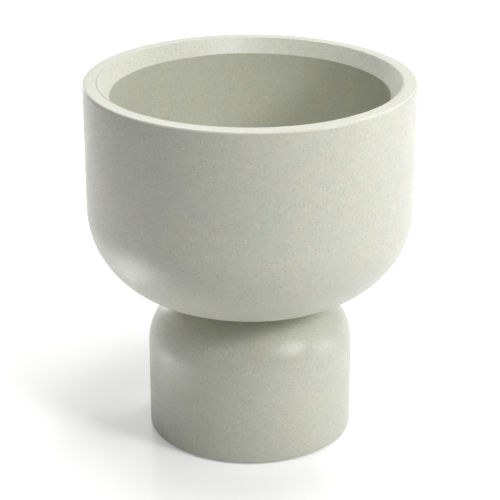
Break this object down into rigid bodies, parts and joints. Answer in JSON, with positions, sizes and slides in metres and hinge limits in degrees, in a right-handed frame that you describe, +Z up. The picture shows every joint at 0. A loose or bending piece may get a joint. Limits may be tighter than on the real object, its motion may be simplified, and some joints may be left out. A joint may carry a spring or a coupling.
{
  "type": "urn planter",
  "caption": "Round-bottomed speckled bowl planter with a bevelled drop-in pot, standing on a barrel foot with a rounded shoulder.",
  "frame": {"origin": "centre of the foot's footprint, on the floor under the rubber pads", "axes": "+Z up along the planter's axis of turning; +X points to the first foot pad; the picture looks along +Y"},
  "size_m": [0.4, 0.3999, 0.453],
  "materials": {
    "speckled_resin": "pale sage-grey stone-filled resin, satin-matte, fine dark specks and soft mottling",
    "speckled_resin_liner": "same speckled resin, with a smoother bevelled lip",
    "black_plastic": "moulded black plastic, fine grain",
    "black_rubber": "matt black rubber",
    "grey_rubber": "matt grey rubber",
    "stainless_steel": "turned stainless steel"
  },
  "bodies": {
    "urn": {"bowl_shell": "speckled_resin", "pedestal_shell": "speckled_resin", "neck_gasket": "black_rubber", "drain_stem": "black_plastic", "stem_seal": "black_rubber", "clamp_washer": "stainless_steel", "lock_nut": "black_plastic", "foot_pads": "grey_rubber"},
    "inner_pot": {"inner_pot": "speckled_resin_liner"},
    "drain_plug": {"drain_plug": "grey_rubber"}
  },
  "joints": [
    {"name": "inner_pot_lift", "type": "slide", "parent": "urn", "child": "inner_pot", "axis": [0, 0, 1], "range_m": [0, 0.29]},
    {"name": "plug_pull", "type": "slide", "parent": "inner_pot", "child": "drain_plug", "axis": [0, 0, 1], "range_m": [0, 0.28]}
  ]
}
